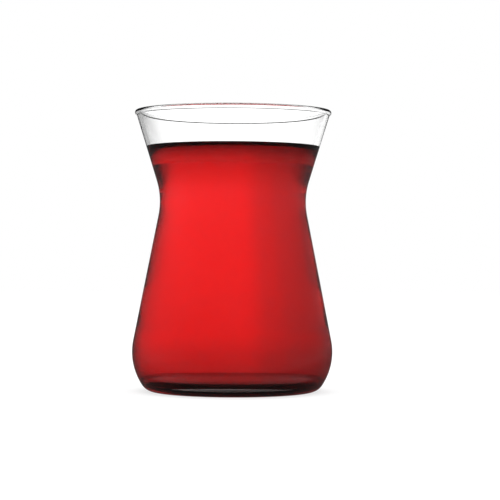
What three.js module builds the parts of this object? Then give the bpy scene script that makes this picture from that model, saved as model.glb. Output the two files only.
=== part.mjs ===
// Turkish tea glass, filled with tea: a thin waisted tumbler of clear glass and the tea standing in it.
// Millimetres, +Z up, the origin at the middle of the foot, on the surface it stands on.
import * as THREE from 'three';

// Driving dimensions of the glass
const HEIGHT = 87;
const FOOT_ARC = 4.6;
const BELLY_RADIUS = 31;
const BELLY_HEIGHT = 12.3;
const BELLY_ARC = 18.5;
const WAIST_RADIUS = 22.6;
const WAIST_HEIGHT = 58.7;
const WAIST_ARC = 21.9;
const FLARE = THREE.MathUtils.degToRad(17.15);
const RIM_RADIUS = 30.4;
const BEAD_RADIUS = 0.82;
const UPPER_WALL = 1.27;
const BELLY_WALL = 2.2;
const FLOOR_THICKNESS = 4.2;
const FLOOR_ARC = 9;
const FOOT_RING_INNER = 16.5;
const FOOT_RECESS = 0.7;
const RECESS_SLOPE_RUN = 1.6;

// Driving dimensions of the tea
const TEA_LEVEL = 76.1;
const MENISCUS_RISE = 1.6;
const MENISCUS_RUN = 6;
const WALL_GAP = 0.3;

// Fineness of the facets
const SEGMENTS = 56;
const ARC_STEP = THREE.MathUtils.degToRad(11);
const MENISCUS_STEPS = 4;

function arc(centre, radius, from, to) {
  const steps = Math.max(2, Math.ceil(Math.abs(to - from) / ARC_STEP));
  return Array.from({ length: steps + 1 }, (_, i) => {
    const angle = from + ((to - from) * i) / steps;
    return new THREE.Vector2(centre.x + radius * Math.cos(angle), centre.y + radius * Math.sin(angle));
  });
}

const belly = new THREE.Vector2(BELLY_RADIUS - BELLY_ARC, BELLY_HEIGHT);
const waist = new THREE.Vector2(WAIST_RADIUS + WAIST_ARC, WAIST_HEIGHT);

// Lean of the straight taper that touches the belly's arc and the waist's hollow arc.
function taperLean(bellyReach, waistReach) {
  const span = waist.clone().sub(belly);
  return span.angle() - Math.acos((bellyReach + waistReach) / span.length());
}

// The outer face, from the foot's flat up to where the flare starts: a corner arc leaves the foot
// and runs into the belly's arc, and the taper joins that to the waist's arc.
function outerFace() {
  const reach = BELLY_ARC - FOOT_ARC;
  const drop = belly.y - FOOT_ARC;
  const corner = new THREE.Vector2(belly.x + Math.sqrt(reach * reach - drop * drop), FOOT_ARC);
  const joint = Math.atan2(corner.y - belly.y, corner.x - belly.x);
  const taper = taperLean(BELLY_ARC, WAIST_ARC);
  return [
    ...arc(corner, FOOT_ARC, -Math.PI / 2, joint).slice(0, -1),
    ...arc(belly, BELLY_ARC, joint, taper),
    ...arc(waist, WAIST_ARC, Math.PI + taper, Math.PI - FLARE),
  ];
}

// The inner face: one wide arc leads from the flat of the floor into the taper. With a gap it is
// the face of what fills the glass, that far clear of the wall and the floor.
function innerFace(gap) {
  const bellyReach = BELLY_ARC - BELLY_WALL - gap;
  const waistReach = WAIST_ARC + UPPER_WALL + gap;
  const taper = taperLean(bellyReach, waistReach);
  const height = FLOOR_THICKNESS + FLOOR_ARC;
  const floorArc = FLOOR_ARC - gap;
  const inset = bellyReach - floorArc - (height - belly.y) * Math.sin(taper);
  const centre = new THREE.Vector2(belly.x + inset / Math.cos(taper), height);
  return [
    ...arc(centre, floorArc, -Math.PI / 2, taper),
    ...arc(waist, waistReach, Math.PI + taper, Math.PI - FLARE),
  ];
}

// Radius of a wall face at a height in the straight flare, above where the waist's arc ends.
function flareRadius(face, height) {
  const start = face[face.length - 1];
  return start.x + (height - start.y) * Math.tan(FLARE);
}

// The rounded bead that ends the wall, from where it leaves the outer face over the top to the inner.
function rimBead(outer, inner) {
  const centre = new THREE.Vector2(RIM_RADIUS - BEAD_RADIUS, HEIGHT - BEAD_RADIUS);
  const outerReach = (flareRadius(outer, centre.y) - centre.x) * Math.cos(FLARE);
  const innerReach = (centre.x - flareRadius(inner, centre.y)) * Math.cos(FLARE);
  const from = -FLARE - Math.acos(outerReach / BEAD_RADIUS);
  const to = -FLARE + Math.PI + Math.acos(innerReach / BEAD_RADIUS);
  return arc(centre, BEAD_RADIUS, from, to);
}

// Turns a closed or axis-to-axis outline (radius, height) about the upright axis.
function turned(name, outline, material) {
  const geometry = new THREE.LatheGeometry(outline, SEGMENTS);
  geometry.rotateX(Math.PI / 2);
  const mesh = new THREE.Mesh(geometry, material);
  mesh.name = name;
  return mesh;
}

// The glass stands on a flat foot ring round a shallow recess.
function glass() {
  const outer = outerFace();
  const inner = innerFace(0);
  const outline = [
    new THREE.Vector2(0, FOOT_RECESS),
    new THREE.Vector2(FOOT_RING_INNER - RECESS_SLOPE_RUN, FOOT_RECESS),
    new THREE.Vector2(FOOT_RING_INNER, 0),
    ...outer,
    ...rimBead(outer, inner),
    ...inner.reverse(),
    new THREE.Vector2(0, FLOOR_THICKNESS),
  ];
  const clearGlass = new THREE.MeshStandardMaterial({
    color: 0xe9f1ee,
    roughness: 0.03,
    metalness: 0,
    transparent: true,
    opacity: 0.35,
  });
  return turned('glass', outline, clearGlass);
}

// The tea fills the glass to its level, and creeps up the wall in a small meniscus.
function tea() {
  const face = innerFace(WALL_GAP);
  const edge = flareRadius(face, TEA_LEVEL);
  const meniscus = Array.from({ length: MENISCUS_STEPS + 1 }, (_, i) => {
    const inward = i / MENISCUS_STEPS;
    const rise = MENISCUS_RISE * (1 - inward) ** 2;
    return new THREE.Vector2(edge - MENISCUS_RUN * inward, TEA_LEVEL - MENISCUS_RISE + rise);
  });
  const outline = [
    new THREE.Vector2(0, FLOOR_THICKNESS + WALL_GAP),
    ...face,
    ...meniscus,
    new THREE.Vector2(0, TEA_LEVEL - MENISCUS_RISE),
  ];
  const redTea = new THREE.MeshStandardMaterial({ color: 0xc8141c, roughness: 0.05, metalness: 0 });
  return turned('tea', outline, redTea);
}

const teaGlass = new THREE.Group();
teaGlass.add(glass(), tea());

export default teaGlass;
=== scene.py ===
# Turkish tea glass, filled with tea: the looks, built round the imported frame. Metres, +Z up.
import math

import bpy
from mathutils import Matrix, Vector


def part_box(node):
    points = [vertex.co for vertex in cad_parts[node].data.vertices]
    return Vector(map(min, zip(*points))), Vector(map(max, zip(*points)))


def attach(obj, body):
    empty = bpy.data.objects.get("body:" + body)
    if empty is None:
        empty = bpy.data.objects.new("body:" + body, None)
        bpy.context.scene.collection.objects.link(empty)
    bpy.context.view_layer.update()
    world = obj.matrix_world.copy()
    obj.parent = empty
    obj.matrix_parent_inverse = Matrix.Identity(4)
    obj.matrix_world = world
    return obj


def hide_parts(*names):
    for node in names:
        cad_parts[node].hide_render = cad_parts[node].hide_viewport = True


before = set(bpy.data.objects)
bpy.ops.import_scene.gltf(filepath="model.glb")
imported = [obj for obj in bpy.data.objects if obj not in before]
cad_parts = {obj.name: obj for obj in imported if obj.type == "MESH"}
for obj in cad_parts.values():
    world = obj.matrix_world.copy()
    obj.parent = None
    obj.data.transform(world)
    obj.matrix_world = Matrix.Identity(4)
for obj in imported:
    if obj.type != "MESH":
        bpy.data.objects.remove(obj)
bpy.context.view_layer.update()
MM = 0.001

# Camera: nearly level with the middle of the glass, on a long lens. The photograph's frame is
# 500 px wide, the axis of the glass stands at AXIS_X and leans by ROLL, and the level line through
# the lens is at HORIZON_Y. FOCUS_PX is the distance to the axis over the size of a pixel there.
FRAME_PX = 500
AXIS_X = 232.65
HORIZON_Y = 249.9
FOCUS_PX = 1815
PIXEL = 0.31 * MM
EYE_HEIGHT = 141.3 * PIXEL
ROLL = math.radians(0.25)

camera_data = bpy.data.cameras.new("photo_camera")
camera_data.sensor_width = 36
camera_data.lens = camera_data.sensor_width * FOCUS_PX / FRAME_PX
camera_data.clip_start = 0.02
camera_data.clip_end = 50
camera = bpy.data.objects.new("photo_camera", camera_data)
bpy.context.scene.collection.objects.link(camera)
camera.location = (0, -FOCUS_PX * PIXEL, EYE_HEIGHT)
aim_x = (FRAME_PX / 2 - AXIS_X) * PIXEL
aim_z = EYE_HEIGHT - (FRAME_PX / 2 - HORIZON_Y) * PIXEL
aim = Vector((aim_x, 0, aim_z))
camera.rotation_mode = "QUATERNION"
camera.rotation_quaternion = (aim - camera.location).to_track_quat("-Z", "Y")
camera.rotation_mode = "XYZ"
camera.rotation_euler.rotate_axis("Z", ROLL)
bpy.context.scene.camera = camera

# Glass: one turned shell of clear soda-lime glass, thin at the waist and the flared lip, heavier
# towards the foot, with a fire-polished bead along the rim. Its outline is a chain of arcs and
# straight tapers, which is drawn up ring by ring about the upright axis.
glass_low, glass_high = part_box("glass")
HEIGHT = glass_high[2] - glass_low[2]
BELLY_RADIUS = 31 * MM
BELLY_HEIGHT = 12.3 * MM
BELLY_ARC = 18.5 * MM
FOOT_ARC = 4.6 * MM
WAIST_RADIUS = 22.6 * MM
WAIST_HEIGHT = 58.7 * MM
WAIST_ARC = 21.9 * MM
FLARE = math.radians(17.15)
RIM_RADIUS = 30.4 * MM
BEAD_RADIUS = 0.82 * MM
UPPER_WALL = 1.27 * MM
LOWER_WALL = 2.2 * MM
FLOOR_THICKNESS = 4.2 * MM
FLOOR_ARC = 9 * MM
FOOT_RING_INNER = 16.5 * MM
FOOT_RECESS = 0.7 * MM
RECESS_RUN = 1.6 * MM
TEA_LEVEL = 76.1 * MM
SIDES = 256
ARC_STEP = math.radians(3)
BEAD_STEP = math.radians(12)
CREASE = math.radians(40)
GLASS_DEPTH_TINT = "003F30"
GLASS_DEPTH_DENSITY = 14


def arc(centre, radius, start, end, step=ARC_STEP):
    """Points (radius, height) along an arc."""
    steps = max(2, math.ceil(abs(end - start) / step))
    turns = [start + (end - start) * i / steps for i in range(steps + 1)]
    return [(centre[0] + radius * math.cos(t), centre[1] + radius * math.sin(t)) for t in turns]


def wall_face(floor, bottom_arc, lower_depth, upper_depth, belly_arc=None):
    """One face of the wall, from the flat of its bottom up to the end of the waist's arc."""
    belly = (BELLY_RADIUS - BELLY_ARC, BELLY_HEIGHT)
    waist = (WAIST_RADIUS + WAIST_ARC, WAIST_HEIGHT)
    waist_arc = WAIST_ARC + upper_depth
    reach = BELLY_ARC - lower_depth
    span = (waist[0] - belly[0], waist[1] - belly[1])
    taper = math.atan2(span[1], span[0]) - math.acos((reach + waist_arc) / math.hypot(*span))
    upper = arc(waist, waist_arc, math.pi + taper, math.pi - FLARE)
    height = floor + bottom_arc
    if belly_arc is None:
        drop = height - belly[1]
        radius = belly[0] + (reach - bottom_arc - drop * math.sin(taper)) / math.cos(taper)
        return arc((radius, height), bottom_arc, -math.pi / 2, taper) + upper
    radius = belly[0] + math.sqrt((belly_arc - bottom_arc) ** 2 - (belly[1] - height) ** 2)
    joint = math.atan2(height - belly[1], radius - belly[0])
    corner = arc((radius, height), bottom_arc, -math.pi / 2, joint)
    return corner[:-1] + arc(belly, belly_arc, joint, taper) + upper


def flare_radius(face, height):
    """Radius of a wall face in the straight flare over the waist's arc."""
    return face[-1][0] + (height - face[-1][1]) * math.tan(FLARE)


def rim_bead(outer, inner):
    """The bead, from where it leaves the outer face over the top to the inner face."""
    centre = (RIM_RADIUS - BEAD_RADIUS, HEIGHT - BEAD_RADIUS)
    outer_reach = (flare_radius(outer, centre[1]) - centre[0]) * math.cos(FLARE)
    inner_reach = (centre[0] - flare_radius(inner, centre[1])) * math.cos(FLARE)
    start = -FLARE - math.acos(outer_reach / BEAD_RADIUS)
    end = -FLARE + math.pi + math.acos(inner_reach / BEAD_RADIUS)
    return arc(centre, BEAD_RADIUS, start, end, BEAD_STEP)


def turned_piece(name, outline):
    """Draws a ring up through the outline, closes both ends and gives a smooth shell."""
    bpy.ops.object.select_all(action="DESELECT")
    radius, height = outline[0]
    bpy.ops.mesh.primitive_circle_add(vertices=SIDES, radius=radius, fill_type="TRIFAN")
    piece = bpy.context.object
    piece.name = piece.data.name = name
    bpy.ops.object.mode_set(mode="EDIT")
    bpy.ops.mesh.select_all(action="SELECT")
    bpy.ops.transform.translate(value=(0, 0, height))
    bpy.ops.mesh.select_all(action="DESELECT")
    bpy.ops.mesh.select_non_manifold()
    for next_radius, next_height in outline[1:]:
        rise = (0, 0, next_height - height)
        bpy.ops.mesh.extrude_edges_move(TRANSFORM_OT_translate={"value": rise})
        scale = next_radius / radius
        bpy.ops.transform.resize(value=(scale, scale, 1), center_override=(0, 0, next_height))
        radius, height = next_radius, next_height
    bpy.ops.mesh.extrude_edges_move()
    bpy.ops.mesh.merge(type="CENTER")
    bpy.ops.mesh.select_all(action="SELECT")
    bpy.ops.mesh.normals_make_consistent(inside=False)
    bpy.ops.object.mode_set(mode="OBJECT")
    bpy.ops.object.shade_smooth_by_angle(angle=CREASE)
    return piece


outer_face = wall_face(0, FOOT_ARC, 0, 0, BELLY_ARC)
inner_face = wall_face(FLOOR_THICKNESS, FLOOR_ARC, LOWER_WALL, UPPER_WALL)
foot_recess = [(FOOT_RING_INNER - RECESS_RUN, FOOT_RECESS), (FOOT_RING_INNER, 0)]
bead = rim_bead(outer_face, inner_face)
glass = turned_piece("tea_glass", foot_recess + outer_face + bead + inner_face[::-1])


def srgb(hex_colour):
    """An sRGB hex colour as linear RGBA."""
    parts = [int(hex_colour[i : i + 2], 16) / 255 for i in (0, 2, 4)]
    return [p / 12.92 if p <= 0.04045 else ((p + 0.055) / 1.055) ** 2.4 for p in parts] + [1]


def new_material(name):
    """An empty node material and its output node."""
    material = bpy.data.materials.new(name)
    material.use_nodes = True
    material.node_tree.nodes.clear()
    return material, material.node_tree, material.node_tree.nodes.new("ShaderNodeOutputMaterial")


def add_node(tree, kind, settings=()):
    """Adds a node. A setting is a property, or a socket by name or number, and its value or source."""
    node = tree.nodes.new(kind)
    for key, value in dict(settings).items():
        if isinstance(value, bpy.types.NodeSocket):
            tree.links.new(value, node.inputs[key])
        elif isinstance(key, int) or key in node.inputs:
            node.inputs[key].default_value = value
        else:
            setattr(node, key, value)
    return node


# A point is wet where it lies on the inner face, which looks in or up, below the tea's level.
# There the glass hardly reflects, as tea and glass bend light nearly alike.
UP_SHARE = 0.01
LOWEST_INSIDE = 0.9 * FLOOR_THICKNESS
dry = glass.data.attributes.new("dry", "FLOAT", "POINT")
for vertex in glass.data.vertices:
    x, y, z = vertex.co
    looks_in = vertex.normal.dot((x, y, -z * UP_SHARE)) < 0
    wet = looks_in and LOWEST_INSIDE < z < TEA_LEVEL
    dry.data[vertex.index].value = 0 if wet else 1

# Soda-lime glass, fire-polished: water-clear and mirror-smooth, a little grey where light runs
# along inside the wall.
material, tree, output = new_material("soda_lime_glass")
dry_share = add_node(tree, "ShaderNodeAttribute", {"attribute_name": "dry"})
shader = add_node(
    tree,
    "ShaderNodeBsdfPrincipled",
    {
        "Base Color": srgb("FFFFFF"),
        "Roughness": 0,
        "IOR": 1.52,
        "Transmission Weight": 1,
        "Specular Tint": dry_share.outputs["Fac"],
    },
)
depth = add_node(
    tree,
    "ShaderNodeVolumeAbsorption",
    {"Color": srgb(GLASS_DEPTH_TINT), "Density": GLASS_DEPTH_DENSITY},
)
tree.links.new(shader.outputs["BSDF"], output.inputs["Surface"])
tree.links.new(depth.outputs["Volume"], output.inputs["Volume"])
glass.data.materials.append(material)
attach(glass, "root")
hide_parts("glass")

# Tea: strong black tea, red through the whole width of the glass. It wets the wall and climbs it
# in a small meniscus. It reaches just into the wall and the floor, so that no gap shows.
INTO_WALL = 0.12 * MM
MENISCUS_RISE = 1.5 * MM
MENISCUS_RUN = 2.6 * MM
MENISCUS_REACH = 6 * MENISCUS_RUN
MENISCUS_RINGS = 24
TEA_DEPTH_TINT = "F80030"
TEA_DEPTH_DENSITY = 105
# the far side's plain tint, without painted shade, and the own colour of the tea's top
FAR_SIDE = "FF9590"
TOP_OF_TEA = "B3453F"
# how far up a face looks, from 0 to 1, where it counts as the top of the tea
LOOKS_UP = 0.9
# the red tint of the near side with painted shade, as (height in mm, colour), darker towards the foot
# and the level
SIDE_TINT_AND_SHADE = [
    (4.22, "4B2728"),
    (4.5, "762728"),
    (5.5, "86383B"),
    (7, "906165"),
    (9, "9B767A"),
    (13, "B59095"),
    (17.5, "E2979C"),
    (21, "FC9EA3"),
    (25, "FFA2A7"),
    (60, "FFADB4"),
    (63.5, "F3A0A5"),
    (66, "DE8E93"),
    (68.5, "C58186"),
    (71, "A6797D"),
    (73, "6F6165"),
    (74.3, "4B4548"),
    (75.1, "0D191B"),
]

tea_face = wall_face(
    FLOOR_THICKNESS - INTO_WALL,
    FLOOR_ARC + INTO_WALL,
    LOWER_WALL - INTO_WALL,
    UPPER_WALL - INTO_WALL,
)
tea_edge = flare_radius(tea_face, TEA_LEVEL)
tea_flat = TEA_LEVEL - MENISCUS_RISE
meniscus = []
for ring in range(MENISCUS_RINGS + 1):
    inward = MENISCUS_REACH * (ring / MENISCUS_RINGS) ** 2
    climb = MENISCUS_RISE * math.exp(-inward / MENISCUS_RUN)
    meniscus.append((tea_edge - inward, tea_flat + climb))
tea = turned_piece("tea_drink", tea_face + meniscus)


def colours_along(tree, value, low, high, stops, easing="LINEAR"):
    """Colours that follow a value through (value, colour) stops that lie between low and high."""
    share = add_node(tree, "ShaderNodeMapRange", {"Value": value, "From Min": low, "From Max": high})
    ramp = add_node(tree, "ShaderNodeValToRGB", {"Fac": share.outputs["Result"]})
    ramp.color_ramp.interpolation = easing
    elements = ramp.color_ramp.elements
    while len(elements) < len(stops):
        elements.new(0.5)
    for element, (place, colour) in zip(elements, stops):
        element.position = (place - low) / (high - low)
        element.color = colour
    return ramp.outputs["Color"]


# Brewed black tea: clear, deepening to red through its own depth, with a slight haze. The tint by height
# on its near side is red, and darkened as painted shade into the dark bands under the level and over the
# foot; the far side keeps a plain tint without painted shade.
material, tree, output = new_material("brewed_tea")
place = add_node(tree, "ShaderNodeTexCoord")
level = add_node(tree, "ShaderNodeSeparateXYZ", {0: place.outputs["Object"]})
tints_and_shade = [(height * MM, srgb(tint)) for height, tint in SIDE_TINT_AND_SHADE]
near_side = colours_along(tree, level.outputs["Z"], 0, TEA_LEVEL, tints_and_shade)
lie = add_node(tree, "ShaderNodeNewGeometry")
facing = add_node(tree, "ShaderNodeSeparateXYZ", {0: lie.outputs["Normal"]})
on_top = add_node(
    tree,
    "ShaderNodeMath",
    {"operation": "GREATER_THAN", 0: facing.outputs["Z"], 1: LOOKS_UP},
)
# a Mix node's two colours are its sockets 6 and 7, and its mixed colour is output 2
side = add_node(
    tree,
    "ShaderNodeMix",
    {"data_type": "RGBA", "Factor": lie.outputs["Backfacing"], 6: near_side, 7: srgb(FAR_SIDE)},
)
surface = add_node(
    tree,
    "ShaderNodeMix",
    {"data_type": "RGBA", "Factor": on_top.outputs[0], 6: side.outputs[2], 7: srgb(TOP_OF_TEA)},
)
shader = add_node(
    tree,
    "ShaderNodeBsdfPrincipled",
    {
        "Base Color": surface.outputs[2],
        "Roughness": 0,
        "IOR": 1.33,
        "Transmission Weight": 0.9,
        "Specular Tint": srgb("000000"),
    },
)
depth = add_node(
    tree,
    "ShaderNodeVolumeAbsorption",
    {"Color": srgb(TEA_DEPTH_TINT), "Density": TEA_DEPTH_DENSITY},
)
tree.links.new(shader.outputs["BSDF"], output.inputs["Surface"])
tree.links.new(depth.outputs["Volume"], output.inputs["Volume"])
tea.data.materials.append(material)
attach(tea, "root")
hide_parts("tea")

# Floor: a matt sheet of white acrylic, lit from above and from below like a light table. It fades
# into the white surroundings. What shows through the glass is the room, not the floor.
FLOOR_RADIUS = 1.5
FLOOR_FULL = 0.5
FLOOR_GONE = 1.45
FLOOR_WHITE = "959595"
FLOOR_GLOW = 0.72


def fading(tree, surface, full, gone):
    """A surface whole up to one distance from its middle, and clear from another on."""
    place = add_node(tree, "ShaderNodeTexCoord")
    reach = add_node(tree, "ShaderNodeVectorMath", {"operation": "LENGTH", 0: place.outputs["Object"]})
    share = add_node(
        tree,
        "ShaderNodeMapRange",
        {
            "interpolation_type": "SMOOTHSTEP",
            "Value": reach.outputs["Value"],
            "From Min": full,
            "From Max": gone,
            "To Min": 1,
            "To Max": 0,
        },
    )
    clear = add_node(tree, "ShaderNodeBsdfTransparent")
    mix = add_node(tree, "ShaderNodeMixShader", {0: share.outputs[0], 1: clear.outputs[0], 2: surface})
    return mix.outputs[0]


bpy.ops.object.select_all(action="DESELECT")
bpy.ops.mesh.primitive_circle_add(vertices=128, radius=FLOOR_RADIUS, fill_type="NGON")
floor = bpy.context.object
floor.name = "floor"
material, tree, output = new_material("white_acrylic")
lit = add_node(tree, "ShaderNodeBsdfDiffuse", {"Color": srgb(FLOOR_WHITE)})
glow = add_node(tree, "ShaderNodeEmission", {"Color": srgb("FFFFFF"), "Strength": FLOOR_GLOW})
white = add_node(tree, "ShaderNodeAddShader", {0: lit.outputs[0], 1: glow.outputs[0]})
faded = fading(tree, white.outputs[0], FLOOR_FULL, FLOOR_GONE)
tree.links.new(faded, output.inputs["Surface"])
floor.data.materials.append(material)
floor.visible_transmission = False
floor.visible_glossy = False

# Shade under the foot: a disc of dull black card just under the floor's level, with a soft edge.
# It stands for the shadow that the glass stands in, and is seen only through the glass.
CARD_RADIUS = 30 * MM
CARD_DROP = 0.3 * MM
CARD_FULL = 18 * MM
CARD_GONE = 29 * MM
CARD_SHADOW_BLACK = "272727"

bpy.ops.object.select_all(action="DESELECT")
bpy.ops.mesh.primitive_circle_add(
    vertices=96, radius=CARD_RADIUS, fill_type="NGON", location=(0, 0, -CARD_DROP)
)
shade_card = bpy.context.object
shade_card.name = "shade_under_foot"
material, tree, output = new_material("foot_shadow_card")
black = add_node(tree, "ShaderNodeBsdfDiffuse", {"Color": srgb(CARD_SHADOW_BLACK)})
faded = fading(tree, black.outputs[0], CARD_FULL, CARD_GONE)
tree.links.new(faded, output.inputs["Surface"])
shade_card.data.materials.append(material)
shade_card.visible_camera = False
shade_card.visible_diffuse = False
shade_card.visible_glossy = False
shade_card.visible_shadow = False

# Soft box: a large round one overhead, which lights the floor and gives the faint shadow. It
# isn't seen through the glass.
SOFTBOX_SIZE = 1.2
SOFTBOX_POWER = 9
SOFTBOX_HEIGHT = 1.3

softbox_data = bpy.data.lights.new("overhead_softbox", "AREA")
softbox_data.shape = "DISK"
softbox_data.size = SOFTBOX_SIZE
softbox_data.energy = SOFTBOX_POWER
softbox = bpy.data.objects.new("overhead_softbox", softbox_data)
bpy.context.scene.collection.objects.link(softbox)
softbox.location = (0, 0, SOFTBOX_HEIGHT)
softbox.visible_transmission = False

# Room: white walls, darker at two sides and overhead, which the glass bends into the soft falloff
# at its edges. Levels are brightness by angle in degrees: WALLS by the turn, either way, from
# WALLS_START left of straight behind the glass, and the others by the height over the level line.
HALF_TURN = 180
OVERHEAD = 90
WALLS_START = 45
WALLS = [
    (0, 0.33),
    (14, 0.44),
    (25, 0.51),
    (34, 0.67),
    (42, 0.97),
    (73, 1),
    (83, 0.86),
    (92, 0.6),
    (105, 0.28),
    (118, 0.12),
    (138, 0.9),
    (180, 1),
]
BY_HEIGHT = [
    (-30, 1),
    (-20, 0.85),
    (-12.5, 0.85),
    (-8, 1),
    (18, 1),
    (22.5, 0.5),
    (30, 0.06),
    (60, 0.04),
]
# low down the walls are alike all round
ALIKE = [(-24, 1), (-13, 0)]
MIRRORED = [(20, 0.06), (50, 0.8)]
THROUGH_GLASS = 1.52


def levels_by(angle, low, high, levels):
    """A grey level that follows an angle smoothly through (angle, level) stops."""
    stops = [(place, (level, level, level, 1)) for place, level in levels]
    return colours_along(tree, angle, low, high, stops, "EASE")


world = bpy.data.worlds.new("studio")
bpy.context.scene.world = world
world.use_nodes = True
tree = world.node_tree
tree.nodes.clear()
output = add_node(tree, "ShaderNodeOutputWorld")
place = add_node(tree, "ShaderNodeTexCoord")
axes = add_node(tree, "ShaderNodeSeparateXYZ", {0: place.outputs["Generated"]})
X, Y, Z = axes.outputs

turn = add_node(tree, "ShaderNodeMath", {"operation": "ARCTAN2", 0: X, 1: Y})
turn = add_node(tree, "ShaderNodeMath", {"operation": "DEGREES", 0: turn.outputs[0]})
turn = add_node(tree, "ShaderNodeMath", {"operation": "ADD", 0: turn.outputs[0], 1: WALLS_START})
turn = add_node(
    tree,
    "ShaderNodeMath",
    {"operation": "WRAP", 0: turn.outputs[0], 1: HALF_TURN, 2: -HALF_TURN},
)
turn = add_node(tree, "ShaderNodeMath", {"operation": "ABSOLUTE", 0: turn.outputs[0]})
rise = add_node(tree, "ShaderNodeMath", {"operation": "ARCSINE", 0: Z})
rise = add_node(tree, "ShaderNodeMath", {"operation": "DEGREES", 0: rise.outputs[0]})
walls = levels_by(turn.outputs[0], 0, HALF_TURN, WALLS)
by_height = levels_by(rise.outputs[0], -OVERHEAD, OVERHEAD, BY_HEIGHT)
alike = levels_by(rise.outputs[0], -OVERHEAD, OVERHEAD, ALIKE)
mirrored = levels_by(rise.outputs[0], -OVERHEAD, OVERHEAD, MIRRORED)
walls = add_node(tree, "ShaderNodeMapRange", {"Value": alike, "To Min": walls, "To Max": 1})
room = add_node(tree, "ShaderNodeMath", {"operation": "MULTIPLY", 0: walls.outputs[0], 1: by_height})

# Rays that go through the glass see the room, rays that it mirrors see a bright ceiling, and the
# camera and the floor see plain white.
rays = add_node(tree, "ShaderNodeLightPath")
bent = rays.outputs["Is Transmission Ray"]
glossy = rays.outputs["Is Glossy Ray"]
not_bent = add_node(tree, "ShaderNodeMath", {"operation": "SUBTRACT", 0: 1, 1: bent})
glint = add_node(tree, "ShaderNodeMath", {"operation": "MULTIPLY", 0: glossy, 1: not_bent.outputs[0]})
glint = add_node(tree, "ShaderNodeMath", {"operation": "MULTIPLY", 0: glint.outputs[0], 1: mirrored})
seen = add_node(
    tree,
    "ShaderNodeMath",
    {"operation": "ADD", 0: rays.outputs["Is Camera Ray"], 1: rays.outputs["Is Diffuse Ray"]},
)
plain = add_node(tree, "ShaderNodeMath", {"operation": "ADD", 0: glint.outputs[0], 1: seen.outputs[0]})
bent = add_node(tree, "ShaderNodeMath", {"operation": "MULTIPLY", 0: bent, 1: THROUGH_GLASS})
strength = add_node(
    tree,
    "ShaderNodeMath",
    {"operation": "MULTIPLY_ADD", 0: bent.outputs[0], 1: room.outputs[0], 2: plain.outputs[0]},
)
back = add_node(tree, "ShaderNodeBackground", {"Color": srgb("FFFFFF"), "Strength": strength.outputs[0]})
tree.links.new(back.outputs[0], output.inputs["Surface"])

# Light crosses many faces in glass and tea, so it may bounce often, and the Standard view keeps
# the floor white.
BOUNCES = 32
bpy.context.scene.view_settings.view_transform = "Standard"
bpy.context.scene.cycles.max_bounces = BOUNCES
bpy.context.scene.cycles.transmission_bounces = BOUNCES
